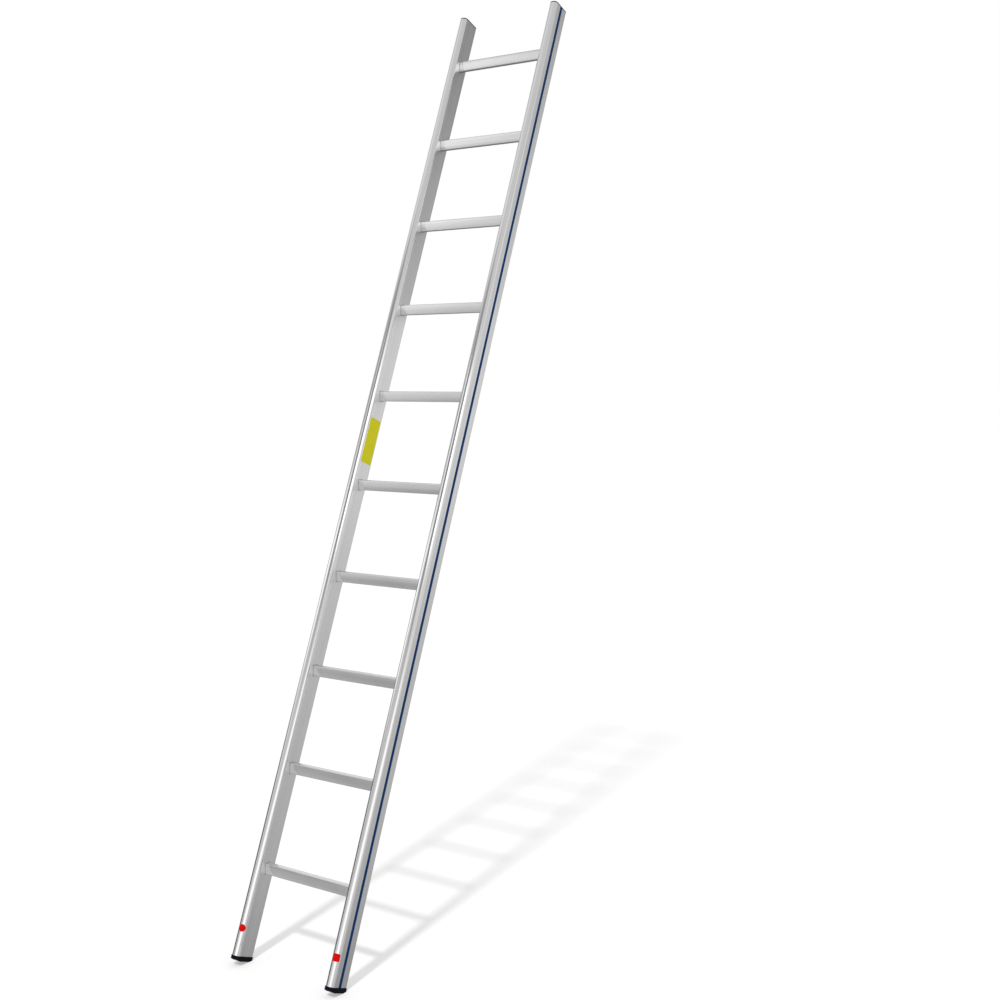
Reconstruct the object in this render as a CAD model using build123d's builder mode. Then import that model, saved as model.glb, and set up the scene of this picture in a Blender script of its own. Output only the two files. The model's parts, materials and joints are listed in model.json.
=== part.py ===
from build123d import *
import os
from math import cos, radians, sin

# A single section leaning ladder, in millimetres. It stands on the floor at Z = 0 and leans back
# towards +Y, where the wall would be. X runs along the rungs, to the right of whoever climbs it.
# The origin is on the floor, midway between the two places where the feet touch it.

# Stance
LEAN_ANGLE = 68.5  # degrees between the stiles and the floor

# Stiles: hollow extrusions, round on the climbing side and square on the wall side
INNER_WIDTH = 314.0  # clear width between the stiles
STILE_WIDTH = 26.0
STILE_DEPTH = 62.0
STILE_WALL = 1.6
FRONT_FLAT = 3.0  # flat left between the two round front corners
BACK_RADIUS = 2.0
SMALLEST_RADIUS = 0.2  # for the inside of tight corners

# Rungs: rounded oblong tubes that flare on both sides of the wall they pass through
RUNG_COUNT = 10
RUNG_PITCH = 280.0
BOTTOM_REACH = 240.0  # from the lower end of a stile to the middle of the first rung
TOP_REACH = 156.0  # from the middle of the last rung to the upper end of a stile
RUNG_DEPTH = 17.5
RUNG_HEIGHT = 30.2
RUNG_WALL = 1.8
RUNG_BULGE = 1.1  # how far the front and back swell out between tread and underside
TREAD_RADIUS = 2.0
UNDERSIDE_RADIUS = 2.0
RUNG_TURN = 20.0  # degrees that the tread is turned, so that it is level at a lean of 70 degrees
RUNG_OFFSET = 4.7  # how far the rungs lie behind the middle of the stiles
RUNG_END = 7.0  # how far a rung reaches past the face of the stile
RUNG_CLEARANCE = 0.15
COLLAR_RISE = 0.5
COLLAR_REACH = 3.0
COLLAR_ROOT = 0.3  # how deep the collar's thin end sinks into the rung
FLARE_RISE = 1.2
FLARE_WIDTH = 2.5

# Grip grooves along each tread
GROOVE_COUNT = 3
GROOVE_PITCH = 3.4
GROOVE_WIDTH = 1.0
GROOVE_DEPTH = 0.5

# Feet: plugs with a sole that is flat on the floor at the leaning angle
FOOT_LIP = 2.0  # how far the foot stands out round the stile
SOLE_THICKNESS = 13.4
FACET_LENGTH = 14.0  # length of the part of the sole that touches the floor
TOE_RISE = 6.5
TOE_RUN = 17.0
TOE_RADIUS = 3.0
SOLE_RADIUS = 6.0
SOLE_GROOVE_COUNT = 3
SOLE_GROOVE_PITCH = 7.0
SOLE_GROOVE_WIDTH = 2.5
SOLE_GROOVE_DEPTH = 1.8
TANG_LENGTH = 45.0
TANG_WALL = 2.5
PLUG_CLEARANCE = 0.15

# End caps
CAP_THICKNESS = 3.6
CAP_EDGE = 0.8
CAP_TANG_LENGTH = 22.0

# Coloured stripes let into the outer faces of the stiles
STRIPE_WIDTH = 11.0
STRIPE_THICKNESS = 0.6
STRIPE_OFFSET = 2.5  # how far the stripe lies behind the middle of the stile
STRIPE_CLEARANCE = 0.1

# Blank plate on the inside of the left stile, between two rungs
LABEL_LENGTH = 139.0
LABEL_WIDTH = 46.0
LABEL_THICKNESS = 0.4
LABEL_RADIUS = 2.0
LABEL_OFFSET = 3.7  # how far the plate lies behind the middle of the stile
LABEL_DROP = 3.5  # how far its middle lies below halfway between the two rungs
LABEL_RUNG = 5  # the rung just below the plate

# Stick-on markers round the front edge of each stile, just above the feet
MARKER_SIZE = 20.0
MARKER_THICKNESS = 0.4
MARKER_RADIUS = 4.0
MARKER_HEIGHT = 74.0  # from the lower end of the stile
MARKER_TURN = 22.0  # degrees from straight ahead, towards the right

# The directions and places that follow from those sizes
lean = radians(LEAN_ANGLE)
across = Vector(1, 0, 0)
behind = Vector(0, sin(lean), -cos(lean))
along = Vector(0, cos(lean), sin(lean))
stile_length = BOTTOM_REACH + (RUNG_COUNT - 1) * RUNG_PITCH + TOP_REACH
stile_centre = (INNER_WIDTH + STILE_WIDTH) / 2
rung_heights = [BOTTOM_REACH + index * RUNG_PITCH for index in range(RUNG_COUNT)]
foot_half_depth = STILE_DEPTH / 2 + FOOT_LIP
facet_start = foot_half_depth - FACET_LENGTH * sin(lean)
facet_rise = FACET_LENGTH * cos(lean)
facet_middle = behind * (facet_start + foot_half_depth) / 2 + along * (facet_rise / 2 - SOLE_THICKNESS)


def spot(x, depth, height):
    """A point given across the ladder, back from the middle of a stile and up along it."""
    return across * x + behind * depth + along * height - facet_middle


def cross_plane(x, height):
    """A plane square to the stiles: its x is across the ladder and its y points behind it."""
    return Plane(origin=spot(x, 0, height), x_dir=across, z_dir=along)


def side_plane(x):
    """A plane square to the rungs: its x points behind the ladder and its y runs up the stiles."""
    return Plane(origin=spot(x, 0, 0), x_dir=behind, z_dir=across)


def stile_outline(grow):
    """The outline of a stile, grown on all sides by the given amount."""
    width = STILE_WIDTH + 2 * grow
    with BuildSketch() as outline:
        Rectangle(width, STILE_DEPTH + 2 * grow)
        back = outline.vertices().group_by(Axis.Y)[-1]
        fillet(back, max(BACK_RADIUS + grow, SMALLEST_RADIUS))
        front = outline.vertices().group_by(Axis.Y)[0]
        fillet(front, (width - FRONT_FLAT) / 2)
    return outline.sketch


def rung_outline(grow):
    """The outline of a rung, grown on all sides, with its tread at the turned top."""
    half_depth = RUNG_DEPTH / 2 + grow
    half_height = RUNG_HEIGHT / 2 + grow
    half_middle = half_depth + RUNG_BULGE
    with BuildSketch() as outline:
        with BuildLine():
            Line((-half_depth, half_height), (half_depth, half_height))
            ThreePointArc((half_depth, half_height), (half_middle, 0), (half_depth, -half_height))
            Line((half_depth, -half_height), (-half_depth, -half_height))
            ThreePointArc((-half_depth, -half_height), (-half_middle, 0), (-half_depth, half_height))
        make_face()
        fillet(outline.vertices().group_by(Axis.Y)[-1], max(TREAD_RADIUS + grow, SMALLEST_RADIUS))
        fillet(outline.vertices().group_by(Axis.Y)[0], max(UNDERSIDE_RADIUS + grow, SMALLEST_RADIUS))
    return outline.sketch.rotate(Axis.Z, RUNG_TURN)


def tread_grooves():
    """The grip grooves, as strips across the top of the rung's outline."""
    with BuildSketch() as grooves:
        with Locations((0, (RUNG_HEIGHT - GROOVE_DEPTH) / 2)):
            with GridLocations(GROOVE_PITCH, 0, GROOVE_COUNT, 1):
                Rectangle(GROOVE_WIDTH, GROOVE_DEPTH)
    return grooves.sketch.rotate(Axis.Z, RUNG_TURN)


def write(builder, name):
    """Label a finished piece and write it under its own name."""
    builder.part.label = name
    export_step(builder.part, f"parts/{name}.step")


def make_stile(side, name):
    """One hollow stile, with a groove for its stripe and a hole for each rung."""
    with BuildPart() as stile:
        with BuildSketch(cross_plane(side * stile_centre, 0)):
            add(stile_outline(0))
            add(stile_outline(-STILE_WALL), mode=Mode.SUBTRACT)
            with Locations((side * (STILE_WIDTH - STRIPE_THICKNESS) / 2, STRIPE_OFFSET)):
                Rectangle(STRIPE_THICKNESS, STRIPE_WIDTH, mode=Mode.SUBTRACT)
        extrude(amount=stile_length)
        with BuildSketch(side_plane(side * (INNER_WIDTH + STILE_WALL) / 2)):
            with Locations([(RUNG_OFFSET, height) for height in rung_heights]):
                add(rung_outline(RUNG_CLEARANCE))
        extrude(amount=STILE_WALL, both=True, mode=Mode.SUBTRACT)
    write(stile, name)


def make_rung(height, name):
    """One rung tube with a grooved tread, a collar outside each stile and a flare inside it."""
    half_length = INNER_WIDTH / 2 + RUNG_END
    with BuildPart() as rung:
        with BuildSketch(side_plane(0)):
            with Locations((RUNG_OFFSET, height)):
                add(rung_outline(0))
                add(tread_grooves(), mode=Mode.SUBTRACT)
        extrude(amount=half_length, both=True)
        for side in (-1, 1):
            face = side * INNER_WIDTH / 2
            with BuildSketch(side_plane(face)):
                with Locations((RUNG_OFFSET, height)):
                    add(rung_outline(COLLAR_RISE))
            with BuildSketch(side_plane(face - side * COLLAR_REACH)):
                with Locations((RUNG_OFFSET, height)):
                    add(rung_outline(-COLLAR_ROOT))
            loft(ruled=True)
            with BuildSketch(side_plane(face + side * STILE_WALL)):
                with Locations((RUNG_OFFSET, height)):
                    add(rung_outline(FLARE_RISE))
            extrude(amount=side * FLARE_WIDTH)
        with BuildSketch(side_plane(0)):
            with Locations((RUNG_OFFSET, height)):
                add(rung_outline(-RUNG_WALL))
        extrude(amount=half_length, both=True, mode=Mode.SUBTRACT)
    write(rung, name)


def make_foot(side, name):
    """One plug foot: a lipped sole under the stile and a hollow tang inside it."""
    centre = side * stile_centre
    plug_gap = STILE_WALL + PLUG_CLEARANCE
    with BuildPart() as foot:
        with BuildSketch(side_plane(centre)) as profile:
            with BuildLine():
                Polyline(
                    (-foot_half_depth, 0),
                    (-foot_half_depth, TOE_RISE - SOLE_THICKNESS),
                    (TOE_RUN - foot_half_depth, -SOLE_THICKNESS),
                    (facet_start, -SOLE_THICKNESS),
                    (foot_half_depth, facet_rise - SOLE_THICKNESS),
                    (foot_half_depth, 0),
                    close=True,
                )
            make_face()
            toe = profile.vertices().group_by(Axis.X)[0].sort_by(Axis.Y)[0]
            fillet(toe, TOE_RADIUS)
            fillet(profile.vertices().group_by(Axis.Y)[0].sort_by(Axis.X)[0], SOLE_RADIUS)
        extrude(amount=STILE_WIDTH / 2 + FOOT_LIP, both=True)
        with BuildSketch(cross_plane(centre, 0)):
            add(stile_outline(FOOT_LIP))
        extrude(amount=-SOLE_THICKNESS, mode=Mode.INTERSECT)
        with BuildSketch(side_plane(centre)):
            with Locations(((facet_start + TOE_RUN - foot_half_depth) / 2, -SOLE_THICKNESS)):
                with GridLocations(SOLE_GROOVE_PITCH, 0, SOLE_GROOVE_COUNT, 1):
                    Rectangle(SOLE_GROOVE_WIDTH, 2 * SOLE_GROOVE_DEPTH)
        extrude(amount=STILE_WIDTH / 2 + FOOT_LIP, both=True, mode=Mode.SUBTRACT)
        with BuildSketch(cross_plane(centre, 0)):
            add(stile_outline(-plug_gap))
            add(stile_outline(-plug_gap - TANG_WALL), mode=Mode.SUBTRACT)
        extrude(amount=TANG_LENGTH)
    write(foot, name)


def make_cap(side, name):
    """One end cap: a thin plate over the upper end of the stile and a hollow tang inside it."""
    centre = side * stile_centre
    plug_gap = STILE_WALL + PLUG_CLEARANCE
    with BuildPart() as cap:
        with BuildSketch(cross_plane(centre, stile_length)):
            add(stile_outline(0))
        extrude(amount=CAP_THICKNESS)
        fillet(cap.faces().sort_by(Axis(spot(centre, 0, 0), along))[-1].edges(), CAP_EDGE)
        with BuildSketch(cross_plane(centre, stile_length)):
            add(stile_outline(-plug_gap))
            add(stile_outline(-plug_gap - TANG_WALL), mode=Mode.SUBTRACT)
        extrude(amount=-CAP_TANG_LENGTH)
    write(cap, name)


def make_stripe(side, name):
    """The coloured strip that fills the groove in a stile's outer face."""
    with BuildPart() as stripe:
        with BuildSketch(cross_plane(side * stile_centre, 0)):
            with Locations((side * (STILE_WIDTH - STRIPE_THICKNESS) / 2, STRIPE_OFFSET)):
                Rectangle(STRIPE_THICKNESS, STRIPE_WIDTH - 2 * STRIPE_CLEARANCE)
        extrude(amount=stile_length)
    write(stripe, name)


def make_marker(side, name, square):
    """A thin marker, round or nearly square, bent round the front edge of a stile."""
    centre = side * stile_centre
    turn = radians(MARKER_TURN)
    outward = across * sin(turn) - behind * cos(turn)
    bend_depth = (STILE_WIDTH - FRONT_FLAT - STILE_DEPTH) / 2
    face_plane = Plane(origin=spot(centre, bend_depth, MARKER_HEIGHT), x_dir=along, z_dir=outward)
    with BuildPart() as marker:
        with BuildSketch(cross_plane(centre, MARKER_HEIGHT - MARKER_SIZE)):
            add(stile_outline(MARKER_THICKNESS))
            add(stile_outline(0), mode=Mode.SUBTRACT)
        extrude(amount=2 * MARKER_SIZE)
        with BuildSketch(face_plane):
            if square:
                RectangleRounded(MARKER_SIZE, MARKER_SIZE, MARKER_RADIUS)
            else:
                Circle(MARKER_SIZE / 2)
        extrude(amount=STILE_WIDTH, mode=Mode.INTERSECT)
    write(marker, name)


def make_label(name):
    """The blank plate on the inner face of the left stile."""
    middle = rung_heights[LABEL_RUNG - 1] + RUNG_PITCH / 2 - LABEL_DROP
    with BuildPart() as label:
        with BuildSketch(side_plane(-INNER_WIDTH / 2)):
            with Locations((LABEL_OFFSET, middle)):
                RectangleRounded(LABEL_WIDTH, LABEL_LENGTH, LABEL_RADIUS)
        extrude(amount=LABEL_THICKNESS)
    write(label, name)


os.makedirs("parts", exist_ok=True)
for side, word in ((-1, "left"), (1, "right")):
    make_stile(side, f"{word}_stile")
    make_foot(side, f"{word}_foot")
    make_cap(side, f"{word}_top_cap")
    make_stripe(side, f"{word}_stripe")
    make_marker(side, f"{word}_marker", square=side > 0)
for number, height in enumerate(rung_heights, start=1):
    make_rung(height, f"rung_{number:02d}")
make_label("label_plate")
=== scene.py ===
import json
from math import atan2, cos, pi, radians, sin

import bmesh
import bpy
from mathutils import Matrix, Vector


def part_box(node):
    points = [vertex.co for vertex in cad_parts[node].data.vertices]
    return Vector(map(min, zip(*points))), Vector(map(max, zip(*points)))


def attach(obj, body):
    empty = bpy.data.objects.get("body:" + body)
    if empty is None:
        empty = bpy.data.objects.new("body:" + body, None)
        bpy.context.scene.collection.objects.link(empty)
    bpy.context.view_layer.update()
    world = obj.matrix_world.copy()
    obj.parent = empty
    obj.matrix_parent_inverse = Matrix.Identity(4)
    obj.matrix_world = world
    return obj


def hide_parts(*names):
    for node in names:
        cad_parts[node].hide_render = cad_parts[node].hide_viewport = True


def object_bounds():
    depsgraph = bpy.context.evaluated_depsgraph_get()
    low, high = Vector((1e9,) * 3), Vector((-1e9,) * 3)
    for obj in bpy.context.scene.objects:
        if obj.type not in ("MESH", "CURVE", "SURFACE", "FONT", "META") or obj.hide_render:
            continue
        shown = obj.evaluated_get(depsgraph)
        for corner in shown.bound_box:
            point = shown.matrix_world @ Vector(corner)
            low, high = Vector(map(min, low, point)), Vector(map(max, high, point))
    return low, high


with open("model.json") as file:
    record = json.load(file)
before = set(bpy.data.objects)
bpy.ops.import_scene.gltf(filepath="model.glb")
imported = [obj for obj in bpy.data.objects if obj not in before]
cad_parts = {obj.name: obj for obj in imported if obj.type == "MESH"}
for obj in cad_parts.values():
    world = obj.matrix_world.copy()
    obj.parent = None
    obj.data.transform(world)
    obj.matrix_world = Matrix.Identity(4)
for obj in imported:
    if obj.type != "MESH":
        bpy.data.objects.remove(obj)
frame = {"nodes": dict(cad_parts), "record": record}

bl_info = {
    "name": "Single Section Ladder",
    "version": (1, 0, 0),
    "blender": (4, 5, 0),
    "location": "View3D > Sidebar > Ladder",
    "description": "Dresses the packed ladder in aluminium, moulded plastic and film, on a pale stage",
    "category": "Object",
}

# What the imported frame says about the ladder, in metres
BODY = "root"
SIDES = ("left", "right")
CAD_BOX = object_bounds()
NODES = frame["nodes"]
MOUNTS = {mount["name"]: Vector(mount["pos_m"]) for mount in frame["record"]["mounts"]}
RUNG_NODES = sorted(name for name in NODES if name.startswith("rung_"))
LAST_RUNG = MOUNTS["top_rung_tie"]
RUNG_STEP = (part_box(RUNG_NODES[-1])[0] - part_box(RUNG_NODES[0])[0]) / (len(RUNG_NODES) - 1)
FIRST_RUNG = LAST_RUNG - RUNG_STEP * (len(RUNG_NODES) - 1)
LEAN = atan2(RUNG_STEP.z, RUNG_STEP.y)
ALONG_STILE = (0, cos(LEAN), sin(LEAN))
BEHIND_STILE = (0, sin(LEAN), -cos(LEAN))
CLEAR_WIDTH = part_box("right_stile")[0].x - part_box("left_stile")[1].x
# How far behind the floor line the backs of the stiles are, square to the stiles
STILE_BACK = MOUNTS["left_wall_rest"].dot(Vector(BEHIND_STILE))

# Extruded aluminium, lengths in metres. Real die lines are about 0.3 mm apart; they are drawn 2.5 mm apart,
# because finer ones would not show
DIE_LINE_WIDTH = 0.0025
DIE_LINE_LENGTH = 0.625
DIE_LINE_DEPTH = 0.0002
DIE_LINE_BUMP = 0.12
# Streaks where the die ran hot, and smudges of handling
STREAK_WIDTH = 0.01205
STREAK_LENGTH = 1.0
SMUDGE_WIDTH = 0.0714
# Roughness of the front, which hands rub smooth, and of the faces behind it
STILE_ROUGHNESS = (0.085, 0.28)
RUNG_ROUGHNESS = (0.19, 0.19)
# The rubbed front of a stile fades out between these shares of its front radius
RUBBED_SHARES = (0.7, 1.2)
# Wear: the values of its pattern that count, and the most roughness that it adds
WEAR_VALUES = (0.1, 0.45)
WEAR_ROUGHNESS = 0.06
# How far a stile's die lines stretch what it mirrors, and how much the metal mirrors at a grazing angle
STILE_STRETCH = 0.85
GRAZING_LEVEL = 0.55
# Width of the ring of painted shade round each swaged joint on the stiles' inner faces
JOINT_SHADE_WIDTH = 0.0026

# Most values of a noise pattern lie between these
NOISE_VALUES = (0.3, 0.7)

# Moulded polypropylene, lengths in metres. Real mould grain is about 0.1 mm; it is drawn coarser, because
# finer grain would not show
FOOT_GRAIN = 0.0008
CAP_GRAIN = 0.0006
GRAIN_DEPTH = 0.0001
GRAIN_BUMP = 0.25
SCUFF_WIDTH = 0.01667
# A scuffed spot is so many times as bright as a clean one, and a little more
SCUFF_GAIN = 1.3
SCUFF_HAZE = 0.001
MOULDED_ROUGHNESS = (0.48, 0.62)
MOULDED_IOR = 1.49
MOULDED_SPECULAR = 0.1

# Cast vinyl film, lengths in metres: the ripple of the glue under each piece, and patches of paler pigment
STRIPE_RIPPLE = 0.004
MARKER_RIPPLE = 0.003
PLATE_RIPPLE = 0.005
RIPPLE_DEPTH = 0.0002
RIPPLE_BUMP = 0.15
PIGMENT_WIDTH = 0.025
# A faded spot keeps this share of its colour, with a little white
FADED_SHARE = 0.9
FADED_HAZE = 0.003
FILM_ROUGHNESS = (0.34, 0.42)
FILM_IOR = 1.5
FILM_SPECULAR = 0.05

# How a copy of a CAD mesh is merged and rounded: lengths in metres, angles in radians
MERGE_REACH = 1e-6
FLAT_ANGLE = radians(0.5)
BEVEL_STEPS = 2
BEVEL_ANGLE = radians(40)
# Edges that turn by more than this stay crisp
FOOT_CREASE = radians(35)
RUNG_CREASE = radians(40)

# How finely a rung is drawn: points in a corner, metres between points of the outline, and points along and
# round a swaged end
CORNER_POINTS = 8
OUTLINE_SPACING = 0.00025
END_STEPS = 21
END_POINTS = 96
# The floor and the rim of a grip groove, as shares of its width from its middle
GROOVE_FLOOR = 0.35
GROOVE_RIM = 0.6
# From this share of its half height, a rung's outline is its tread
TREAD_SHARE = 0.999
# A swaged end is a hair smaller than the tube where it starts inside it
END_SHARE = 0.998
# Length of a shoulder of the swage in metres, and the collar's share of its rise halfway along
SHOULDER = 0.0002
COLLAR_HALFWAY = 0.35

# The key light: slant, strength, and how wide it looks in radians
KEY_SLANT = (-0.18, 0.66, -1.0)
KEY_STRENGTH = 1.4
KEY_ANGLE = radians(4)
# The camera that was fitted to the photo: lens and sensor in millimetres, place in metres, turn in radians
CAMERA_LENS = 48.837
CAMERA_SENSOR = 36
CAMERA_PLACE = (2.4509, -2.5853, 1.5869)
CAMERA_TURN = (radians(85.028), 0, radians(34.481))
# Level of the surroundings as light on the ladder; the eye sees them at 1, which is white
FILL_LEVEL = 0.62
# The floor, in metres to each side: the share of light that it throws back, and for the eye a lesser share
# with a glow, which come to white
FLOOR_REACH = 40.0
FLOOR_BOUNCE = 0.85
FLOOR_SHARE = 0.7
FLOOR_GLOW = 0.34

# The studio room, in metres. It is so large that the whole ladder mirrors it alike
ROOM_REACH = 300.0
ROOM_SEGMENTS = 64
ROOM_RINGS = 32
# The bare room goes from a low to a high share of its reach, and from one brightness to another; 1 is white
ROOM_LOW = (-0.64, 0.50)
ROOM_HIGH = (0.87, 0.68)
# Each panel stands upright: its bearing in degrees, where 0 is straight in front of the climbing side and 90
# at the climber's right; what it spans sideways and upwards, as shares of its distance; and its brightness
STUDIO_PANELS = {
    "low softbox": (24, (-1.1, 1.5), (0.17, 0.35), 1.3),
    "high softbox": (24, (0.3, 3.5), (0.47, 0.73), 1.3),
    "softbox at the right": (105, (-0.5, 0.55), (0.14, 0.42), 0.8),
    "low softbox at the right": (85, (-0.25, 0.35), (-0.06, 0.06), 0.9),
    "ceiling at the left": (-15, (-2.0, -0.4), (0.88, 1.4), 0.8),
    "wall behind the camera": (40, (-0.7, 0.7), (-1.0, 0.0), 0.8),
    "low softbox at the left": (-25, (-0.25, 0.45), (0.0, 0.25), 0.97),
    "strip light": (-15, (-1.9, -0.6), (0.38, 0.60), 1.3),
    "flag above the front": (-15, (-0.3, 0.55), (0.52, 0.96), 0.28),
    "flag at the left": (-15, (-4.0, -0.95), (-0.3, 0.24), 0.05),
    "flag at the upper left": (-15, (-2.2, -0.25), (0.69, 0.92), 0.38),
    "floor at the back right": (140, (-1.0, 1.0), (-1.0, -0.44), 0.12),
    "wall at the back right": (134, (-0.5, 0.5), (-0.10, 0.08), 0.82),
    "floor at the back left": (-140, (-1.5, 1.5), (-1.2, -0.08), 0.40),
    "dark floor at the back left": (-140, (-1.5, 1.5), (-1.6, -0.34), 0.08),
    "wall at the back left": (-140, (-0.6, 0.6), (0.03, 0.6), 1.26),
}
# A panel fades out at its edges, over this share of its distance to each side
PANEL_FADE = 0.07

# A reflector stands upright to the left of the camera, this far in front of the floor line. Its brightness
# changes sideways and upwards: places in metres, and the level at each
REFLECTOR_AHEAD = 2.585
REFLECTOR_SPAN = (-3.4, -1.95)
REFLECTOR_RISE = (-2.0, 4.7)
REFLECTOR_ACROSS = ((-2.75, 1.14), (-2.2, 0.59))
REFLECTOR_UPWARDS = ((-0.6, 0.50), (0.35, 0.40), (1.5, 0.73), (2.4, 0.80), (3.2, 1.03))
# A softbox hangs above the camera, in the same plane
SOFTBOX_SPAN = (1.5, 3.0)
SOFTBOX_RISE = (3.0, 4.3)
SOFTBOX_LEVEL = 2.0
# A dark flag hangs behind the ladder, where the upper part of the left stile's inner face mirrors it
FLAG_AHEAD = -1.35
FLAG_SPAN = (-0.1, 0.40)
FLAG_RISE = (1.80, 3.6)
FLAG_LEVEL = 0.27

# Settings that all length properties and all colour properties share
LENGTH = {"unit": "LENGTH", "precision": 4}
COLOUR = {"size": 3, "subtype": "COLOR", "min": 0, "max": 1}
# From one node to the next in a node editor
NODE_SPACING = 190


def linear(hex_colour):
    """An sRGB hex colour as linear red, green and blue."""
    parts = [int(hex_colour[i:i + 2], 16) / 255 for i in (0, 2, 4)]
    return tuple(part / 12.92 if part <= 0.04045 else ((part + 0.055) / 1.055) ** 2.4 for part in parts)


def grey(level):
    """A grey as a node's colour; 1 is white."""
    return (level, level, level, 1)


def repeats(width, length):
    """A pattern's scale across an extrusion and along it, from the size of one repeat in metres."""
    return (1 / width, 1 / width, 1 / length)


def add(tree, kind, inputs=None, **settings):
    """Add one node with its settings; a socket or a node's first output is linked, any other value is set."""
    made = tree.nodes.new(kind)
    made.location = (NODE_SPACING * len(tree.nodes), 0)
    for name, value in settings.items():
        setattr(made, name, value)
    for key, value in (inputs or {}).items():
        if isinstance(value, bpy.types.Node):
            value = value.outputs[0]
        if isinstance(value, bpy.types.NodeSocket):
            tree.links.new(value, made.inputs[key])
        else:
            made.inputs[key].default_value = value
    return made


def blank_material(name):
    """A new material and its empty node tree."""
    material = bpy.data.materials.new(name)
    material.use_nodes = True
    material.node_tree.nodes.clear()
    return material, material.node_tree


class LadderSizes(bpy.types.PropertyGroup):
    """Sizes of the pieces that are made here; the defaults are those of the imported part."""

    rung_depth: bpy.props.FloatProperty(
        name="Rung depth", description="Front to back across the tread", default=0.0175, **LENGTH)
    rung_height: bpy.props.FloatProperty(
        name="Rung height", description="Tread to underside", default=0.0302, **LENGTH)
    rung_bulge: bpy.props.FloatProperty(
        name="Rung bulge", description="How far front and back swell out halfway up", default=0.0011,
        **LENGTH)
    rung_turn: bpy.props.FloatProperty(
        name="Rung turn", description="Turn of the tread from square with the stiles", default=radians(20),
        subtype="ANGLE")
    rung_wall: bpy.props.FloatProperty(
        name="Rung wall", description="Wall thickness of the rung tube", default=0.0018, **LENGTH)
    tread_radius: bpy.props.FloatProperty(
        name="Tread radius", description="Rounding of the tread's two edges", default=0.002, **LENGTH)
    underside_radius: bpy.props.FloatProperty(
        name="Underside radius", description="Rounding of the two lower edges", default=0.002, **LENGTH)
    groove_count: bpy.props.IntProperty(
        name="Grooves", description="Grip grooves along each tread", default=3, min=1)
    groove_pitch: bpy.props.FloatProperty(
        name="Groove pitch", description="From one grip groove to the next", default=0.0034, **LENGTH)
    groove_width: bpy.props.FloatProperty(
        name="Groove width", description="Width of a grip groove", default=0.001, **LENGTH)
    groove_depth: bpy.props.FloatProperty(
        name="Groove depth", description="Depth of a grip groove", default=0.0005, **LENGTH)
    rung_end: bpy.props.FloatProperty(
        name="Rung end", description="How far a rung reaches into the stile", default=0.007, **LENGTH)
    collar_rise: bpy.props.FloatProperty(
        name="Collar rise", description="How far the swaged collar stands out from the rung", default=0.0005,
        **LENGTH)
    collar_reach: bpy.props.FloatProperty(
        name="Collar reach", description="Length of the collar along the rung", default=0.003, **LENGTH)
    flare_rise: bpy.props.FloatProperty(
        name="Flare rise", description="How far the flare inside the stile stands out from the rung",
        default=0.0012, **LENGTH)
    flare_width: bpy.props.FloatProperty(
        name="Flare width", description="Length of the flare along the rung", default=0.0025, **LENGTH)
    stile_depth: bpy.props.FloatProperty(
        name="Stile depth", description="Front to back across a stile", default=0.062, **LENGTH)
    stile_round: bpy.props.FloatProperty(
        name="Stile rounding", description="Radius of the round front of a stile", default=0.0115, **LENGTH)
    stile_wall: bpy.props.FloatProperty(
        name="Stile wall", description="Wall that the rung passes through", default=0.0016, **LENGTH)
    moulded_edge: bpy.props.FloatProperty(
        name="Moulded edge", description="Rounding of the edges of the feet", default=0.0005, **LENGTH)


class LadderFinish(bpy.types.PropertyGroup):
    """Colours of the finishes, kept as linear values."""

    aluminium: bpy.props.FloatVectorProperty(
        name="Aluminium", description="Bare extruded aluminium", default=linear("F6F6F6"), **COLOUR)
    aluminium_streak: bpy.props.FloatVectorProperty(
        name="Aluminium streaks", description="Duller streaks along the extrusion", default=linear("DCDCDC"),
        **COLOUR)
    # Painted shade: the colour that a thin ring round each rung's joint on the stiles' inner faces darkens to
    joint_shade: bpy.props.FloatVectorProperty(
        name="Painted joint shade", description="Dull ring that the swaging tool leaves round a rung",
        default=linear("BABABA"), **COLOUR)
    foot: bpy.props.FloatVectorProperty(
        name="Feet", description="Moulded plug feet", default=linear("040A15"), **COLOUR)
    cap: bpy.props.FloatVectorProperty(
        name="End caps", description="Moulded end caps", default=linear("1E2124"), **COLOUR)
    stripe: bpy.props.FloatVectorProperty(
        name="Stripes", description="Film down the outer faces", default=linear("00366A"), **COLOUR)
    marker: bpy.props.FloatVectorProperty(
        name="Markers", description="Film markers above the feet", default=linear("D40A08"), **COLOUR)
    plate: bpy.props.FloatVectorProperty(
        name="Blank plate", description="Film on the left stile's inner face", default=linear("E0DA24"),
        **COLOUR)


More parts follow.
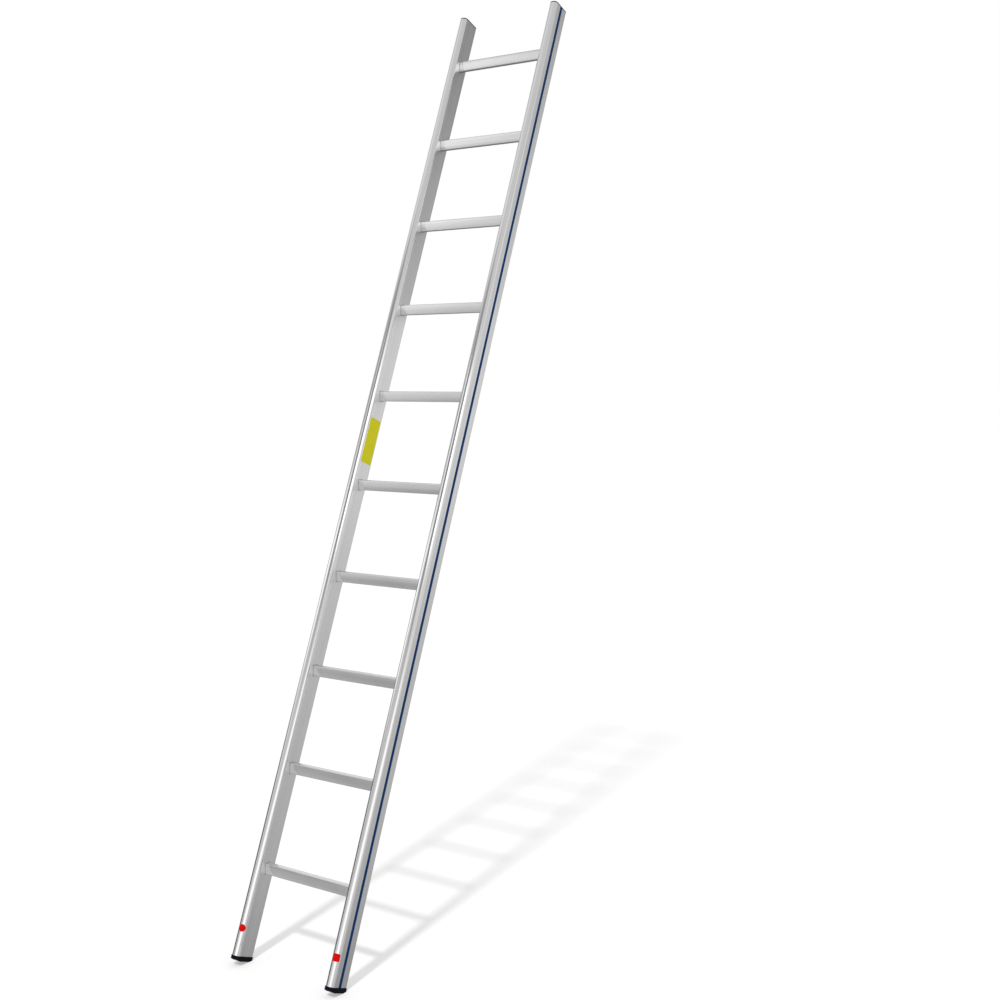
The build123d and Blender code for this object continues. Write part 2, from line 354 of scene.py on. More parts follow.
def painted_joint_shade(tree, place, sizes):
    """How much of a spot on a stile lies in the ring of painted shade round each rung, where shade falls at
    the joint.
    """
    # From the middle of the nearest rung to the spot
    from_last = add(tree, "ShaderNodeVectorMath", {0: place, 1: LAST_RUNG}, operation="SUBTRACT")
    one_rung = RUNG_STEP / RUNG_STEP.length_squared
    climbed = add(tree, "ShaderNodeVectorMath", {0: from_last, 1: one_rung}, operation="DOT_PRODUCT")
    nearest = add(tree, "ShaderNodeMath", {0: climbed.outputs["Value"]}, operation="ROUND")
    rung_at = add(tree, "ShaderNodeVectorMath", {0: RUNG_STEP, "Scale": nearest}, operation="SCALE")
    offset = add(tree, "ShaderNodeVectorMath", {0: from_last, 1: rung_at}, operation="SUBTRACT")
    # How far that is outside the rung, whose tread is nearly level: its depth is along y, its height along z
    flat = add(tree, "ShaderNodeVectorMath", {0: offset, 1: (0, 1, 1)}, operation="MULTIPLY")
    away = add(tree, "ShaderNodeVectorMath", {0: flat}, operation="ABSOLUTE")
    half_depth = sizes.rung_depth / 2 + sizes.rung_bulge
    core = (0, half_depth - sizes.tread_radius, sizes.rung_height / 2 - sizes.tread_radius)
    past_core = add(tree, "ShaderNodeVectorMath", {0: away, 1: core}, operation="SUBTRACT")
    outside = add(tree, "ShaderNodeVectorMath", {0: past_core, 1: (0, 0, 0)}, operation="MAXIMUM")
    distance = add(tree, "ShaderNodeVectorMath", {0: outside}, operation="LENGTH")
    ring = add(tree, "ShaderNodeMapRange", {
        "Value": distance.outputs["Value"],
        "From Min": sizes.tread_radius, "From Max": sizes.tread_radius + JOINT_SHADE_WIDTH,
        "To Min": 1.0, "To Max": 0.0,
    }, interpolation_type="SMOOTHSTEP")
    # Only the inner walls of the two stiles get the painted shade
    spot = add(tree, "ShaderNodeSeparateXYZ", {"Vector": place})
    sideways = add(tree, "ShaderNodeMath", {0: spot.outputs["X"]}, operation="ABSOLUTE")
    inner_wall = CLEAR_WIDTH / 2 + sizes.stile_wall
    inner = add(tree, "ShaderNodeMath", {0: sideways, 1: inner_wall}, operation="LESS_THAN")
    return add(tree, "ShaderNodeMath", {0: ring, 1: inner}, operation="MULTIPLY")


def aluminium_material(name, drawn, turn, finish, roughness, rubbed=(0, 1), stretch=0.0, joints=None):
    """Bare extruded aluminium, drawn through a die: satin metal with fine lines along its length.

    The lines run the way the metal was drawn, which the turn brings to z. They blur what the flat faces
    mirror to one even tone, and stretch it sideways. Hands rub the metal smooth in front, so the roughness
    goes from its first value to its second between the two depths given as rubbed, and a round front carries
    crisp bright and dark bands. Where the sizes of the joints are given, a thin ring of painted shade darkens
    the colour round each rung, where shade falls at the joint.
    """
    material, tree = blank_material(name)
    place = add(tree, "ShaderNodeTexCoord").outputs["Object"]
    aligned = add(tree, "ShaderNodeMapping", {"Vector": place, "Rotation": turn})
    line_scale = repeats(DIE_LINE_WIDTH, DIE_LINE_LENGTH)
    lines_at = add(tree, "ShaderNodeMapping", {"Vector": aligned, "Scale": line_scale})
    lines = add(tree, "ShaderNodeTexNoise", {"Vector": lines_at, "Scale": 1.0, "Detail": 2.0})
    streak_scale = repeats(STREAK_WIDTH, STREAK_LENGTH)
    streaks_at = add(tree, "ShaderNodeMapping", {"Vector": aligned, "Scale": streak_scale})
    streaks = add(tree, "ShaderNodeTexNoise", {"Vector": streaks_at, "Scale": 1.0, "Detail": 3.0})
    smudges = add(tree, "ShaderNodeTexNoise", {"Vector": place, "Scale": 1 / SMUDGE_WIDTH, "Detail": 4.0})

    clean = (*finish.aluminium, 1)
    streaked = (*finish.aluminium_streak, 1)
    tone = add(tree, "ShaderNodeMix", {"Factor": streaks, 6: clean, 7: streaked}, data_type="RGBA")
    colour = tone.outputs[2]
    # Painted shade: where the joint sizes are given, a thin ring round each rung on the stiles turns darker
    if joints:
        ring = painted_joint_shade(tree, place, joints)
        joint_shade = (*finish.joint_shade, 1)
        joint_shaded = add(tree, "ShaderNodeMix", {"Factor": ring, 6: colour, 7: joint_shade}, data_type="RGBA")
        colour = joint_shaded.outputs[2]

    depth = add(tree, "ShaderNodeSeparateXYZ", {"Vector": aligned}).outputs["Y"]
    smooth = add(tree, "ShaderNodeMapRange", {
        "Value": depth,
        "From Min": rubbed[0], "From Max": rubbed[1],
        "To Min": roughness[0], "To Max": roughness[1],
    }, interpolation_type="SMOOTHSTEP")
    worn = add(tree, "ShaderNodeMath", {0: lines, 1: smudges}, operation="MULTIPLY")
    extra = add(tree, "ShaderNodeMapRange", {
        "Value": worn,
        "From Min": WEAR_VALUES[0], "From Max": WEAR_VALUES[1],
        "To Min": 0.0, "To Max": WEAR_ROUGHNESS,
    })
    rough = add(tree, "ShaderNodeMath", {0: smooth, 1: extra}, operation="ADD")
    bump = add(tree, "ShaderNodeBump", {
        "Height": lines, "Strength": DIE_LINE_BUMP, "Distance": DIE_LINE_DEPTH,
    })

    # The stretch runs across the way the metal was drawn
    facing = add(tree, "ShaderNodeNewGeometry").outputs["Normal"]
    sideways = add(tree, "ShaderNodeVectorMath", {0: facing, 1: drawn}, operation="CROSS_PRODUCT")
    metal = add(tree, "ShaderNodeBsdfPrincipled", {
        "Base Color": colour, "Metallic": 1.0, "Roughness": rough, "Specular Tint": grey(GRAZING_LEVEL),
        "Anisotropic": stretch, "Tangent": sideways, "Normal": bump,
    })
    add(tree, "ShaderNodeOutputMaterial", {"Surface": metal})
    return material


def moulded_material(name, colour, grain):
    """Moulded polypropylene: a dull skin with the fine grain of a spark-eroded mould.

    The grain scatters light, so the dark plastic keeps a faint grey sheen on its upper edges.
    """
    material, tree = blank_material(name)
    place = add(tree, "ShaderNodeTexCoord").outputs["Object"]
    grit = add(tree, "ShaderNodeTexNoise", {"Vector": place, "Scale": 1 / grain, "Detail": 3.0})
    scuffs = add(tree, "ShaderNodeTexNoise", {"Vector": place, "Scale": 1 / SCUFF_WIDTH, "Detail": 2.0})
    scuffed = tuple(min(1.0, part * SCUFF_GAIN + SCUFF_HAZE) for part in colour)
    tone = add(tree, "ShaderNodeMix", {
        "Factor": scuffs, 6: (*colour, 1), 7: (*scuffed, 1),
    }, data_type="RGBA").outputs[2]
    rough = add(tree, "ShaderNodeMapRange", {
        "Value": grit,
        "From Min": NOISE_VALUES[0], "From Max": NOISE_VALUES[1],
        "To Min": MOULDED_ROUGHNESS[0], "To Max": MOULDED_ROUGHNESS[1],
    })
    bump = add(tree, "ShaderNodeBump", {"Height": grit, "Strength": GRAIN_BUMP, "Distance": GRAIN_DEPTH})
    plastic = add(tree, "ShaderNodeBsdfPrincipled", {
        "Base Color": tone, "Roughness": rough, "IOR": MOULDED_IOR, "Specular IOR Level": MOULDED_SPECULAR,
        "Normal": bump,
    })
    add(tree, "ShaderNodeOutputMaterial", {"Surface": plastic})
    return material


def film_material(name, colour, ripple):
    """Cast vinyl film stuck to the metal: smooth, half gloss, with a faint ripple from the layer of glue.

    The ripple bends highlights a little, and the pigment is not quite even.
    """
    material, tree = blank_material(name)
    place = add(tree, "ShaderNodeTexCoord").outputs["Object"]
    glue = add(tree, "ShaderNodeTexNoise", {"Vector": place, "Scale": 1 / ripple, "Detail": 1.0})
    pigment = add(tree, "ShaderNodeTexNoise", {"Vector": place, "Scale": 1 / PIGMENT_WIDTH, "Detail": 3.0})
    faded = tuple(part * FADED_SHARE + FADED_HAZE for part in colour)
    tone = add(tree, "ShaderNodeMix", {
        "Factor": pigment, 6: (*colour, 1), 7: (*faded, 1),
    }, data_type="RGBA").outputs[2]
    rough = add(tree, "ShaderNodeMapRange", {
        "Value": pigment,
        "From Min": NOISE_VALUES[0], "From Max": NOISE_VALUES[1],
        "To Min": FILM_ROUGHNESS[0], "To Max": FILM_ROUGHNESS[1],
    })
    bump = add(tree, "ShaderNodeBump", {"Height": glue, "Strength": RIPPLE_BUMP, "Distance": RIPPLE_DEPTH})
    film = add(tree, "ShaderNodeBsdfPrincipled", {
        "Base Color": tone, "Roughness": rough, "IOR": FILM_IOR, "Specular IOR Level": FILM_SPECULAR,
        "Normal": bump,
    })
    add(tree, "ShaderNodeOutputMaterial", {"Surface": film})
    return material


def paint(node_name, material):
    """Give a carried-over CAD node its finish."""
    slots = NODES[node_name].material_slots
    if not slots:
        raise RuntimeError(f"{node_name} has no material slot to paint")
    for slot in slots:
        slot.material = material


def softened_copy(node_name, piece_name, edge, material):
    """A merged copy of a CAD node with its sharp edges rounded, which then stands for the node."""
    mesh = NODES[node_name].data.copy()
    mesh.name = piece_name
    work = bmesh.new()
    work.from_mesh(mesh)
    bmesh.ops.remove_doubles(work, verts=work.verts, dist=MERGE_REACH)
    bmesh.ops.dissolve_limit(work, angle_limit=FLAT_ANGLE, verts=work.verts, edges=work.edges)
    work.to_mesh(mesh)
    work.free()
    mesh.materials.clear()
    mesh.materials.append(material)
    piece = bpy.data.objects.new(piece_name, mesh)
    bpy.context.scene.collection.objects.link(piece)
    rounding = piece.modifiers.new("rounded edges", "BEVEL")
    rounding.width = edge
    rounding.segments = BEVEL_STEPS
    rounding.limit_method = "ANGLE"
    rounding.angle_limit = BEVEL_ANGLE
    rounding.harden_normals = False
    mesh.shade_smooth()
    mesh.set_sharp_from_angle(angle=FOOT_CREASE)
    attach(piece, BODY)
    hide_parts(node_name)


def swage_points(sizes):
    """The most that a rung's end widens, and by what share of that at which share of the end's length."""
    run = sizes.collar_reach + sizes.rung_end
    tallest = max(sizes.collar_rise, sizes.flare_rise)
    collar = sizes.collar_rise / tallest
    flare = sizes.flare_rise / tallest
    inside = sizes.collar_reach + sizes.stile_wall
    flare_end = inside + sizes.flare_width
    places = (
        (0, 0),
        (sizes.collar_reach / 2, collar * COLLAR_HALFWAY),
        (sizes.collar_reach - SHOULDER, collar),
        (sizes.collar_reach, 0),
        (inside, 0),
        (inside + SHOULDER, flare),
        (flare_end, flare),
        (flare_end + SHOULDER, 0),
        (run, 0),
    )
    return tallest, [(place / run, rise) for place, rise in places]


def rung_outline(tree, given, spot, level):
    """A rung's outline: an oblong with round corners, whose front and back swell out most at half height."""
    oblong = add(tree, "GeometryNodeCurvePrimitiveQuadrilateral", {
        "Width": given["Depth"], "Height": given["Height"],
    }, mode="RECTANGLE")
    at_tread = add(tree, "FunctionNodeCompare", {0: spot["Y"], 1: 0.0}, operation="GREATER_THAN")
    corner = add(tree, "GeometryNodeSwitch", {
        "Switch": at_tread, "False": given["Underside radius"], "True": given["Tread radius"],
    }, input_type="FLOAT")
    rounded = add(tree, "GeometryNodeFilletCurve", {
        "Curve": oblong, "Radius": corner, "Count": CORNER_POINTS,
    }, mode="POLY")
    fine = add(tree, "GeometryNodeResampleCurve", {
        "Curve": rounded, "Length": OUTLINE_SPACING,
    }, mode="LENGTH")
    square_level = add(tree, "ShaderNodeMath", {0: level, 1: level}, operation="MULTIPLY")
    swell = add(tree, "ShaderNodeMath", {0: 1.0, 1: square_level}, operation="SUBTRACT")
    bulge = add(tree, "ShaderNodeMath", {0: swell, 1: given["Bulge"]}, operation="MULTIPLY")
    outward = add(tree, "ShaderNodeMath", {0: spot["X"]}, operation="SIGN")
    sideways = add(tree, "ShaderNodeMath", {0: bulge, 1: outward}, operation="MULTIPLY")
    offset = add(tree, "ShaderNodeCombineXYZ", {"X": sideways})
    return add(tree, "GeometryNodeSetPosition", {"Geometry": fine, "Offset": offset})


def grooved_outline(tree, given, outline, spot, level):
    """Sink the grip grooves into the tread, by how far a point is from the middle of the nearest groove."""
    # With an even number of grooves, the middle of the tread lies between two of them
    even = add(tree, "ShaderNodeMath", {0: given["Groove count"], 1: 1.0}, operation="ADD")
    half_step = add(tree, "ShaderNodeMath", {0: even, 1: 2.0}, operation="MODULO")
    shift = add(tree, "ShaderNodeMath", {0: half_step, 1: 0.5}, operation="MULTIPLY")
    counted = add(tree, "ShaderNodeMath", {0: spot["X"], 1: given["Groove pitch"]}, operation="DIVIDE")
    shifted = add(tree, "ShaderNodeMath", {0: counted, 1: shift}, operation="ADD")
    nearest = add(tree, "ShaderNodeMath", {0: shifted}, operation="ROUND")
    part_off = add(tree, "ShaderNodeMath", {0: shifted, 1: nearest}, operation="SUBTRACT")
    off = add(tree, "ShaderNodeMath", {0: part_off, 1: given["Groove pitch"]}, operation="MULTIPLY")
    distance = add(tree, "ShaderNodeMath", {0: off}, operation="ABSOLUTE")
    floor = add(tree, "ShaderNodeMath", {0: given["Groove width"], 1: GROOVE_FLOOR}, operation="MULTIPLY")
    rim = add(tree, "ShaderNodeMath", {0: given["Groove width"], 1: GROOVE_RIM}, operation="MULTIPLY")
    sunk = add(tree, "ShaderNodeMapRange", {
        "Value": distance,
        "From Min": floor, "From Max": rim,
        "To Min": given["Groove depth"], "To Max": 0.0,
    }, interpolation_type="SMOOTHSTEP")
    down = add(tree, "ShaderNodeMath", {0: sunk, 1: -1.0}, operation="MULTIPLY")
    # Only the grooved band of the tread sinks
    band = add(tree, "ShaderNodeMath", {
        0: given["Groove count"], 1: given["Groove pitch"],
    }, operation="MULTIPLY")
    half_band = add(tree, "ShaderNodeMath", {0: band, 1: 0.5}, operation="MULTIPLY")
    from_middle = add(tree, "ShaderNodeMath", {0: spot["X"]}, operation="ABSOLUTE")
    in_band = add(tree, "FunctionNodeCompare", {0: from_middle, 1: half_band}, operation="LESS_THAN")
    on_tread = add(tree, "FunctionNodeCompare", {0: level, 1: TREAD_SHARE}, operation="GREATER_THAN")
    grooved = add(tree, "FunctionNodeBooleanMath", {0: in_band, 1: on_tread}, operation="AND")
    offset = add(tree, "ShaderNodeCombineXYZ", {"Y": down})
    return add(tree, "GeometryNodeSetPosition", {
        "Geometry": outline, "Selection": grooved, "Offset": offset,
    })


def swaged_end(tree, given, outline, half_clear, half_height, swage_shape):
    """The right end of a rung: a collar outside the stile's wall, a waist through it and a flare inside."""
    start = add(tree, "ShaderNodeMath", {0: half_clear, 1: given["Collar reach"]}, operation="SUBTRACT")
    tip = add(tree, "ShaderNodeMath", {0: half_clear, 1: given["End reach"]}, operation="ADD")
    run = add(tree, "GeometryNodeCurvePrimitiveLine", {
        "Start": add(tree, "ShaderNodeCombineXYZ", {"X": start}),
        "End": add(tree, "ShaderNodeCombineXYZ", {"X": tip}),
    })
    stepped = add(tree, "GeometryNodeResampleCurve", {"Curve": run, "Count": END_STEPS})
    along = add(tree, "GeometryNodeSplineParameter").outputs["Factor"]
    swage = add(tree, "ShaderNodeFloatCurve", {"Value": along})
    points = swage.mapping.curves[0].points
    points[0].location = swage_shape[0]
    points[1].location = swage_shape[-1]
    for place, rise in swage_shape[1:-1]:
        points.new(place, rise)
    for point in points:
        point.handle_type = "VECTOR"
    swage.mapping.update()
    risen = add(tree, "ShaderNodeMath", {0: swage, 1: given["Swage rise"]}, operation="MULTIPLY")
    share = add(tree, "ShaderNodeMath", {0: risen, 1: half_height}, operation="DIVIDE")
    thick = add(tree, "ShaderNodeMath", {0: share, 1: END_SHARE}, operation="ADD")
    plain = add(tree, "GeometryNodeResampleCurve", {"Curve": outline, "Count": END_POINTS})
    return add(tree, "GeometryNodeCurveToMesh", {"Curve": stepped, "Profile Curve": plain, "Scale": thick})


def rung_tree(swage_shape):
    """The node tree that makes every rung: a grooved tube, swaged at both ends, repeated up the stiles."""
    tree = bpy.data.node_groups.new("Ribbed rungs", "GeometryNodeTree")
    tree.interface.new_socket("Geometry", in_out="OUTPUT", socket_type="NodeSocketGeometry")
    sockets = {
        "Rung count": "Int", "First rung": "Vector", "Step": "Vector", "Turn": "Float",
        "Clear width": "Float", "Depth": "Float", "Height": "Float", "Bulge": "Float",
        "Tread radius": "Float", "Underside radius": "Float",
        "Groove count": "Int", "Groove pitch": "Float", "Groove width": "Float", "Groove depth": "Float",
        "End reach": "Float", "Swage rise": "Float", "Collar reach": "Float", "Finish": "Material",
    }
    for label, kind in sockets.items():
        tree.interface.new_socket(label, in_out="INPUT", socket_type="NodeSocket" + kind)
    given = add(tree, "NodeGroupInput").outputs

    # The outline lies flat: x is front to back, and the level goes from -1 at the underside to 1 on the tread
    position = add(tree, "GeometryNodeInputPosition")
    spot = add(tree, "ShaderNodeSeparateXYZ", {"Vector": position}).outputs
    half_height = add(tree, "ShaderNodeMath", {0: given["Height"], 1: 0.5}, operation="MULTIPLY")
    level = add(tree, "ShaderNodeMath", {0: spot["Y"], 1: half_height}, operation="DIVIDE")
    outline = rung_outline(tree, given, spot, level)
    grooved = grooved_outline(tree, given, outline, spot, level)

    # One rung: the grooved tube between the stiles, a swaged end, and its mirror image
    half_clear = add(tree, "ShaderNodeMath", {0: given["Clear width"], 1: 0.5}, operation="MULTIPLY")
    minus_clear = add(tree, "ShaderNodeMath", {0: half_clear, 1: -1.0}, operation="MULTIPLY")
    run = add(tree, "GeometryNodeCurvePrimitiveLine", {
        "Start": add(tree, "ShaderNodeCombineXYZ", {"X": minus_clear}),
        "End": add(tree, "ShaderNodeCombineXYZ", {"X": half_clear}),
    })
    tube = add(tree, "GeometryNodeCurveToMesh", {"Curve": run, "Profile Curve": grooved})
    right_end = swaged_end(tree, given, outline, half_clear, half_height, swage_shape)
    mirrored = add(tree, "GeometryNodeTransform", {"Geometry": right_end, "Scale": (-1, 1, 1)})
    left_end = add(tree, "GeometryNodeFlipFaces", {"Mesh": mirrored})
    whole = add(tree, "GeometryNodeJoinGeometry")
    for part in (tube, right_end, left_end):
        tree.links.new(part.outputs["Mesh"], whole.inputs["Geometry"])

    # Repeat the rung up the stiles
    rungs_at = add(tree, "GeometryNodeMeshLine", {
        "Count": given["Rung count"], "Start Location": given["First rung"], "Offset": given["Step"],
    }, mode="OFFSET")
    tilt = add(tree, "ShaderNodeCombineXYZ", {"X": given["Turn"]})
    rungs = add(tree, "GeometryNodeInstanceOnPoints", {
        "Points": rungs_at, "Instance": whole, "Rotation": tilt,
    })
    real = add(tree, "GeometryNodeRealizeInstances", {"Geometry": rungs})
    finished = add(tree, "GeometryNodeSetMaterial", {"Geometry": real, "Material": given["Finish"]})
    add(tree, "NodeGroupOutput", {"Geometry": finished})
    return tree


def seen_directly(tree):
    """Whether the eye sees a surface, straight or in metal or through glass, or only gets light from it."""
    path = add(tree, "ShaderNodeLightPath").outputs
    seen = add(tree, "ShaderNodeMath", {
        0: path["Is Camera Ray"], 1: path["Is Glossy Ray"],
    }, operation="MAXIMUM")
    return add(tree, "ShaderNodeMath", {0: seen, 1: path["Is Transmission Ray"]}, operation="MAXIMUM")


def white_surroundings():
    """A world that is white to the eye and in reflections, with a softer level as light on the ladder."""
    world = bpy.data.worlds.new("White studio")
    world.use_nodes = True
    tree = world.node_tree
    tree.nodes.clear()
    fill = add(tree, "ShaderNodeBackground", {"Color": grey(1), "Strength": FILL_LEVEL})
    white = add(tree, "ShaderNodeBackground", {"Color": grey(1), "Strength": 1.0})
    both = add(tree, "ShaderNodeMixShader", {0: seen_directly(tree), 1: fill, 2: white})
    add(tree, "ShaderNodeOutputWorld", {"Surface": both})
    bpy.context.scene.world = world


def flat_panel(name, corners, material):
    """A panel of the stage with four corners."""
    mesh = bpy.data.meshes.new(name)
    mesh.from_pydata(corners, [], [(0, 1, 2, 3)])
    mesh.materials.append(material)
    return bpy.data.objects.new(name, mesh)


def pale_floor():
    """A floor that is white to the eye and keeps the ladder's shadow."""
    material, tree = blank_material("Pale studio floor")
    plain = add(tree, "ShaderNodeBsdfDiffuse", {"Color": grey(FLOOR_BOUNCE)})
    shaded = add(tree, "ShaderNodeBsdfDiffuse", {"Color": grey(FLOOR_SHARE)})
    glow = add(tree, "ShaderNodeEmission", {"Color": grey(1), "Strength": FLOOR_GLOW})
    white = add(tree, "ShaderNodeAddShader", {0: shaded, 1: glow})
    both = add(tree, "ShaderNodeMixShader", {0: seen_directly(tree), 1: plain, 2: white})
    add(tree, "ShaderNodeOutputMaterial", {"Surface": both})
    ways = ((-1, -1), (1, -1), (1, 1), (-1, 1))
    floor = flat_panel("floor", [(x * FLOOR_REACH, y * FLOOR_REACH, 0) for x, y in ways], material)
    floor.visible_glossy = False
    bpy.context.scene.collection.objects.link(floor)


def glow_only(material, tree, level):
    """End a material in plain light of a level, which does not count as a lamp."""
    glow = add(tree, "ShaderNodeEmission", {"Color": grey(1), "Strength": level})
    add(tree, "ShaderNodeOutputMaterial", {"Surface": glow})
    material.cycles.emission_sampling = "NONE"


def only_reflected(thing):
    """Put a piece of the stage where only reflections see it."""
    thing.visible_camera = False
    thing.visible_diffuse = False
    thing.visible_transmission = False
    thing.visible_volume_scatter = False
    thing.visible_shadow = False
    bpy.context.scene.collection.objects.link(thing)


def studio_room():
    """A round room with bright and dim panels, so that the metal has something to mirror."""
    material, tree = blank_material("Studio room")
    place = add(tree, "ShaderNodeTexCoord").outputs["Object"]
    height = add(tree, "ShaderNodeSeparateXYZ", {"Vector": place}).outputs["Z"]
    tone = add(tree, "ShaderNodeMapRange", {
        "Value": height,
        "From Min": ROOM_LOW[0] * ROOM_REACH, "From Max": ROOM_HIGH[0] * ROOM_REACH,
        "To Min": ROOM_LOW[1], "To Max": ROOM_HIGH[1],
    })
    for bearing, sideways, upwards, level in STUDIO_PANELS.values():
        turn = radians(bearing)
        forwards = (sin(turn), -cos(turn), 0)
        rightwards = (cos(turn), sin(turn), 0)
        in_front = add(tree, "ShaderNodeVectorMath", {0: place, 1: forwards}, operation="DOT_PRODUCT")
        to_right = add(tree, "ShaderNodeVectorMath", {0: place, 1: rightwards}, operation="DOT_PRODUCT")
        distance = in_front.outputs["Value"]
        cover = add(tree, "ShaderNodeMath", {0: distance, 1: 0.0}, operation="GREATER_THAN")
        for offset, (start, end) in ((to_right.outputs["Value"], sideways), (height, upwards)):
            share = add(tree, "ShaderNodeMath", {0: offset, 1: distance}, operation="DIVIDE")
            centred = add(tree, "ShaderNodeMath", {0: share, 1: (start + end) / 2}, operation="SUBTRACT")
            away = add(tree, "ShaderNodeMath", {0: centred}, operation="ABSOLUTE")
            half_span = (end - start) / 2
            fade = add(tree, "ShaderNodeMapRange", {
                "Value": away,
                "From Min": half_span - PANEL_FADE, "From Max": half_span + PANEL_FADE,
                "To Min": 1.0, "To Max": 0.0,
            }, interpolation_type="SMOOTHSTEP")
            cover = add(tree, "ShaderNodeMath", {0: cover, 1: fade}, operation="MULTIPLY")
        tone = add(tree, "ShaderNodeMix", {"Factor": cover, 2: tone, 3: level})
    glow_only(material, tree, tone)
    mesh = bpy.data.meshes.new("studio_room")
    work = bmesh.new()
    bmesh.ops.create_uvsphere(work, u_segments=ROOM_SEGMENTS, v_segments=ROOM_RINGS, radius=ROOM_REACH)
    work.to_mesh(mesh)
    work.free()
    mesh.materials.append(material)
    room = bpy.data.objects.new("studio_room", mesh)
    room.location = (CAD_BOX[0] + CAD_BOX[1]) / 2
    only_reflected(room)


def reflector(name, ahead, span, rise, upwards, across=((0, 1.0),)):
    """An upright panel that only reflections see, with levels that may change upwards and across."""
    material, tree = blank_material(name)
    place = add(tree, "ShaderNodeTexCoord").outputs["Object"]
    spot = add(tree, "ShaderNodeSeparateXYZ", {"Vector": place}).outputs
    tone = across[0][1] * upwards[0][1]
    for axis, steps in (("X", across), ("Z", upwards)):
        for (start, first), (end, last) in zip(steps, steps[1:]):
            gain = add(tree, "ShaderNodeMapRange", {
                "Value": spot[axis],
                "From Min": start, "From Max": end,
                "To Min": 1.0, "To Max": last / first,
            })
            tone = add(tree, "ShaderNodeMath", {0: tone, 1: gain}, operation="MULTIPLY")
    glow_only(material, tree, tone)
    left, right = span
    low, high = rise
    corners = [(left, -ahead, low), (right, -ahead, low), (right, -ahead, high), (left, -ahead, high)]
    only_reflected(flat_panel(name, corners, material))


def key_light():
    """The sun that throws the ladder's shadow on the floor."""
    light = bpy.data.lights.new("key", "SUN")
    light.energy = KEY_STRENGTH
    light.angle = KEY_ANGLE
    key = bpy.data.objects.new("key", light)
    key.visible_glossy = False
    key.rotation_euler = Vector(KEY_SLANT).to_track_quat("-Z", "Y").to_euler()
    bpy.context.scene.collection.objects.link(key)


def photo_camera():
    """The camera at the photo's viewing angle."""
    lens = bpy.data.cameras.new("camera")
    lens.lens = CAMERA_LENS
    lens.sensor_width = CAMERA_SENSOR
    camera = bpy.data.objects.new("camera", lens)
    camera.location = CAMERA_PLACE
    camera.rotation_euler = CAMERA_TURN
    bpy.context.scene.collection.objects.link(camera)
    bpy.context.scene.camera = camera


class LADDER_OT_stiles(bpy.types.Operator):
    """Finish the two stiles as bare extruded aluminium"""

    bl_idname = "ladder.stiles"
    bl_label = "Finish the stiles"

    def execute(self, context):
        sizes = context.scene.ladder_sizes
        front = STILE_BACK - sizes.stile_depth
        rubbed = [front + sizes.stile_round * share for share in RUBBED_SHARES]
        upright = (pi / 2 - LEAN, 0, 0)
        # The sizes given last add the ring of painted shade round each rung's joint
        metal = aluminium_material(
            "Extruded aluminium, drawn along the stile", ALONG_STILE, upright, context.scene.ladder_finish,
            STILE_ROUGHNESS, rubbed, STILE_STRETCH, sizes)
        for side in SIDES:
            paint(f"{side}_stile", metal)
        return {"FINISHED"}


class LADDER_OT_rungs(bpy.types.Operator):
    """Make the ribbed, swaged rungs"""

    bl_idname = "ladder.rungs"
    bl_label = "Make the rungs"

    def execute(self, context):
        sizes = context.scene.ladder_sizes
        metal = aluminium_material(
            "Extruded aluminium, ribbed rung", (1, 0, 0), (0, pi / 2, 0), context.scene.ladder_finish,
            RUNG_ROUGHNESS)
        swage_rise, swage_shape = swage_points(sizes)
        tree = rung_tree(swage_shape)
        maker = bpy.data.objects.new("rung_maker", bpy.data.meshes.new("rung_maker"))
        context.scene.collection.objects.link(maker)
        pattern = maker.modifiers.new("ribbed rungs", "NODES")
        pattern.node_group = tree
        wall = maker.modifiers.new("tube wall", "SOLIDIFY")
        wall.thickness = sizes.rung_wall
        wall.offset = -1
        values = {
            "Rung count": len(RUNG_NODES),
            "First rung": FIRST_RUNG,
            "Step": RUNG_STEP,
            "Turn": LEAN + pi / 2 + sizes.rung_turn,
            "Clear width": CLEAR_WIDTH,
            "Depth": sizes.rung_depth,
            "Height": sizes.rung_height,
            "Bulge": sizes.rung_bulge,
            "Tread radius": sizes.tread_radius,
            "Underside radius": sizes.underside_radius,
            "Groove count": sizes.groove_count,
            "Groove pitch": sizes.groove_pitch,
            "Groove width": sizes.groove_width,
            "Groove depth": sizes.groove_depth,
            "End reach": sizes.rung_end,
            "Swage rise": swage_rise,
            "Collar reach": sizes.collar_reach,
            "Finish": metal,
        }
        for socket in tree.interface.items_tree:
            if socket.in_out == "INPUT":
                pattern[socket.identifier] = values[socket.name]
        context.view_layer.update()
        mesh = bpy.data.meshes.new_from_object(maker.evaluated_get(context.evaluated_depsgraph_get()))
        bpy.data.objects.remove(maker)
        if not mesh.polygons:
            raise RuntimeError("the rung tree gave no faces")
        mesh.name = "rungs"
        mesh.shade_smooth()
        mesh.set_sharp_from_angle(angle=RUNG_CREASE)
        rungs = bpy.data.objects.new("rungs", mesh)
        context.scene.collection.objects.link(rungs)
        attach(rungs, BODY)
        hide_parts(*RUNG_NODES)
        return {"FINISHED"}


class LADDER_OT_feet(bpy.types.Operator):
    """Mould the two plug feet"""

    bl_idname = "ladder.feet"
    bl_label = "Mould the feet"

    def execute(self, context):
        colour = tuple(context.scene.ladder_finish.foot)
        edge = context.scene.ladder_sizes.moulded_edge
        plastic = moulded_material("Moulded polypropylene, navy black", colour, FOOT_GRAIN)
        for side in SIDES:
            softened_copy(f"{side}_foot", f"{side}_foot_moulded", edge, plastic)
        return {"FINISHED"}


class LADDER_OT_caps(bpy.types.Operator):
    """Finish the two end caps as moulded plastic"""

    bl_idname = "ladder.caps"
    bl_label = "Finish the end caps"

    def execute(self, context):
        colour = tuple(context.scene.ladder_finish.cap)
        plastic = moulded_material("Moulded polypropylene, dark grey", colour, CAP_GRAIN)
        for side in SIDES:
            paint(f"{side}_top_cap", plastic)
        return {"FINISHED"}


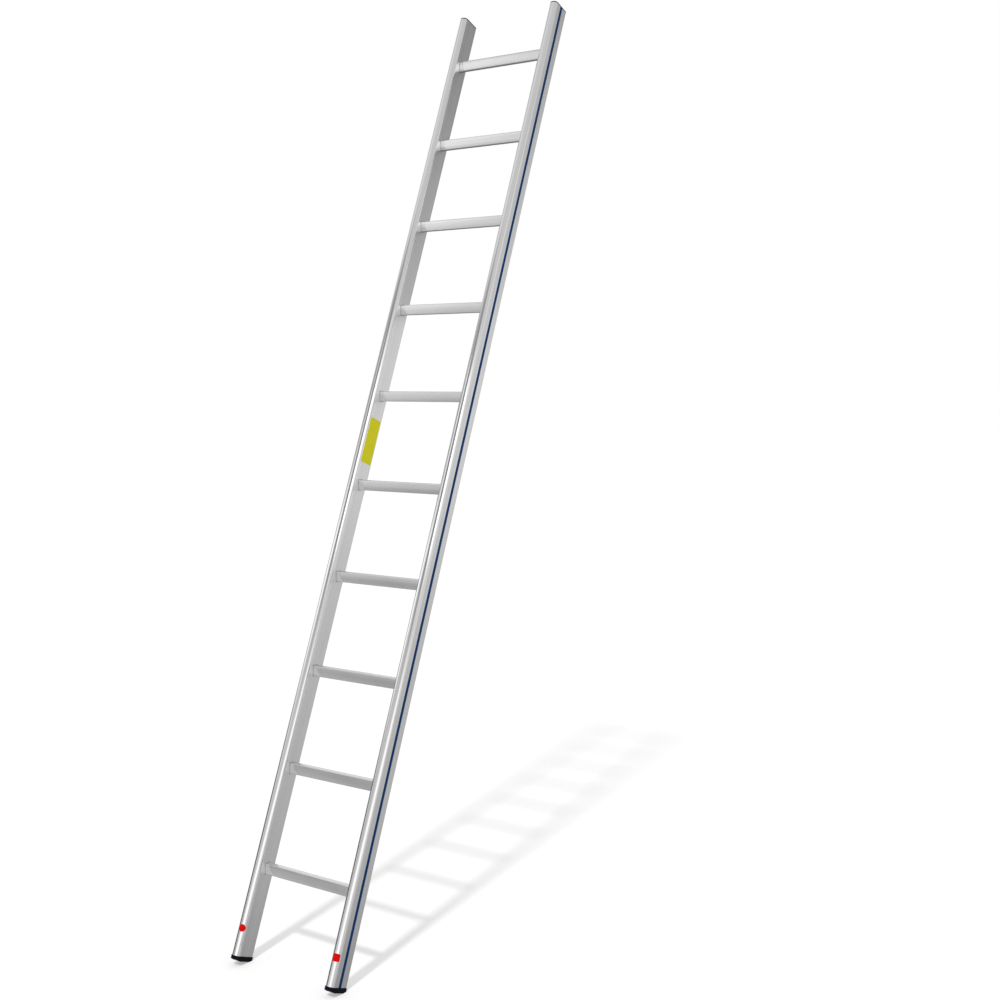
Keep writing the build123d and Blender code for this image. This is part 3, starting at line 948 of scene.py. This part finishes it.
class LADDER_OT_trim(bpy.types.Operator):
    """Finish the stripes, the markers and the blank plate as stuck-on film"""

    bl_idname = "ladder.trim"
    bl_label = "Finish the film trim"

    def execute(self, context):
        finish = context.scene.ladder_finish
        stripe = film_material("Cast vinyl film, dark blue", tuple(finish.stripe), STRIPE_RIPPLE)
        marker = film_material("Cast vinyl film, red", tuple(finish.marker), MARKER_RIPPLE)
        plate = film_material("Cast vinyl film, yellow", tuple(finish.plate), PLATE_RIPPLE)
        for side in SIDES:
            paint(f"{side}_stripe", stripe)
            paint(f"{side}_marker", marker)
        paint("label_plate", plate)
        return {"FINISHED"}


class LADDER_OT_stage(bpy.types.Operator):
    """Set the pale floor, the soft studio light and the camera"""

    bl_idname = "ladder.stage"
    bl_label = "Set the stage"

    def execute(self, context):
        context.scene.view_settings.view_transform = "Standard"
        white_surroundings()
        pale_floor()
        studio_room()
        reflector("graded_reflector", REFLECTOR_AHEAD, REFLECTOR_SPAN, REFLECTOR_RISE, REFLECTOR_UPWARDS,
                  REFLECTOR_ACROSS)
        reflector("camera_softbox", REFLECTOR_AHEAD, SOFTBOX_SPAN, SOFTBOX_RISE, ((0, SOFTBOX_LEVEL),))
        reflector("back_flag", FLAG_AHEAD, FLAG_SPAN, FLAG_RISE, ((0, FLAG_LEVEL),))
        key_light()
        photo_camera()
        return {"FINISHED"}


PIECES = (LADDER_OT_stiles, LADDER_OT_rungs, LADDER_OT_feet, LADDER_OT_caps, LADDER_OT_trim, LADDER_OT_stage)


class LADDER_PT_panel(bpy.types.Panel):
    """Lists the ladder's pieces, sizes and colours in the sidebar"""

    bl_idname = "LADDER_PT_panel"
    bl_label = "Single Section Ladder"
    bl_space_type = "VIEW_3D"
    bl_region_type = "UI"
    bl_category = "Ladder"

    def draw(self, context):
        for piece in PIECES:
            self.layout.operator(piece.bl_idname)
        for group in (context.scene.ladder_sizes, context.scene.ladder_finish):
            box = self.layout.box()
            for name in group.__annotations__:
                box.prop(group, name)


CLASSES = (LadderSizes, LadderFinish, *PIECES, LADDER_PT_panel)


def register():
    for made in CLASSES:
        bpy.utils.register_class(made)
    bpy.types.Scene.ladder_sizes = bpy.props.PointerProperty(type=LadderSizes)
    bpy.types.Scene.ladder_finish = bpy.props.PointerProperty(type=LadderFinish)


def unregister():
    del bpy.types.Scene.ladder_finish
    del bpy.types.Scene.ladder_sizes
    for made in reversed(CLASSES):
        bpy.utils.unregister_class(made)


def main():
    register()
    bpy.ops.ladder.stiles()
    bpy.ops.ladder.rungs()
    bpy.ops.ladder.feet()
    bpy.ops.ladder.caps()
    bpy.ops.ladder.trim()
    bpy.ops.ladder.stage()


if __name__ == "__main__":
    main()
